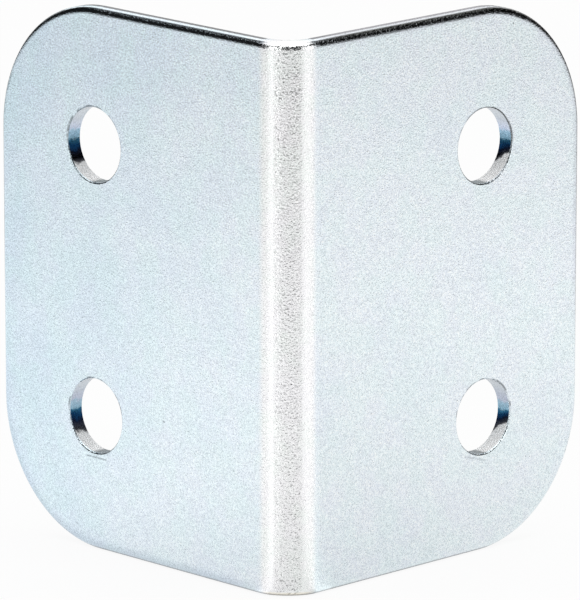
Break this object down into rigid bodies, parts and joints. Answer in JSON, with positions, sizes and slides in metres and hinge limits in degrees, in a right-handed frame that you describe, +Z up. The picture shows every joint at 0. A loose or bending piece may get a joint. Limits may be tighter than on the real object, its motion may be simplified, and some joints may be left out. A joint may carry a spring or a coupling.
{
  "type": "angle bracket",
  "caption": "Right-angle bracket folded from bright zinc-plated steel sheet, with widely rounded free corners and plain round screw holes through both legs.",
  "frame": {"origin": "below the middle of the bounding box, on the surface that the lower edges stand on", "axes": "+Z up along the fold; one leg runs along +X with its outer face towards -Y, the other along +Y with its outer face towards -X"},
  "size_m": [0.0296, 0.0296, 0.04],
  "materials": {
    "zinc_plated_steel": "bright zinc plating on steel, with a fine matt grain"
  },
  "bodies": {
    "root": {"angle_bracket": "zinc_plated_steel"}
  },
  "joints": []
}
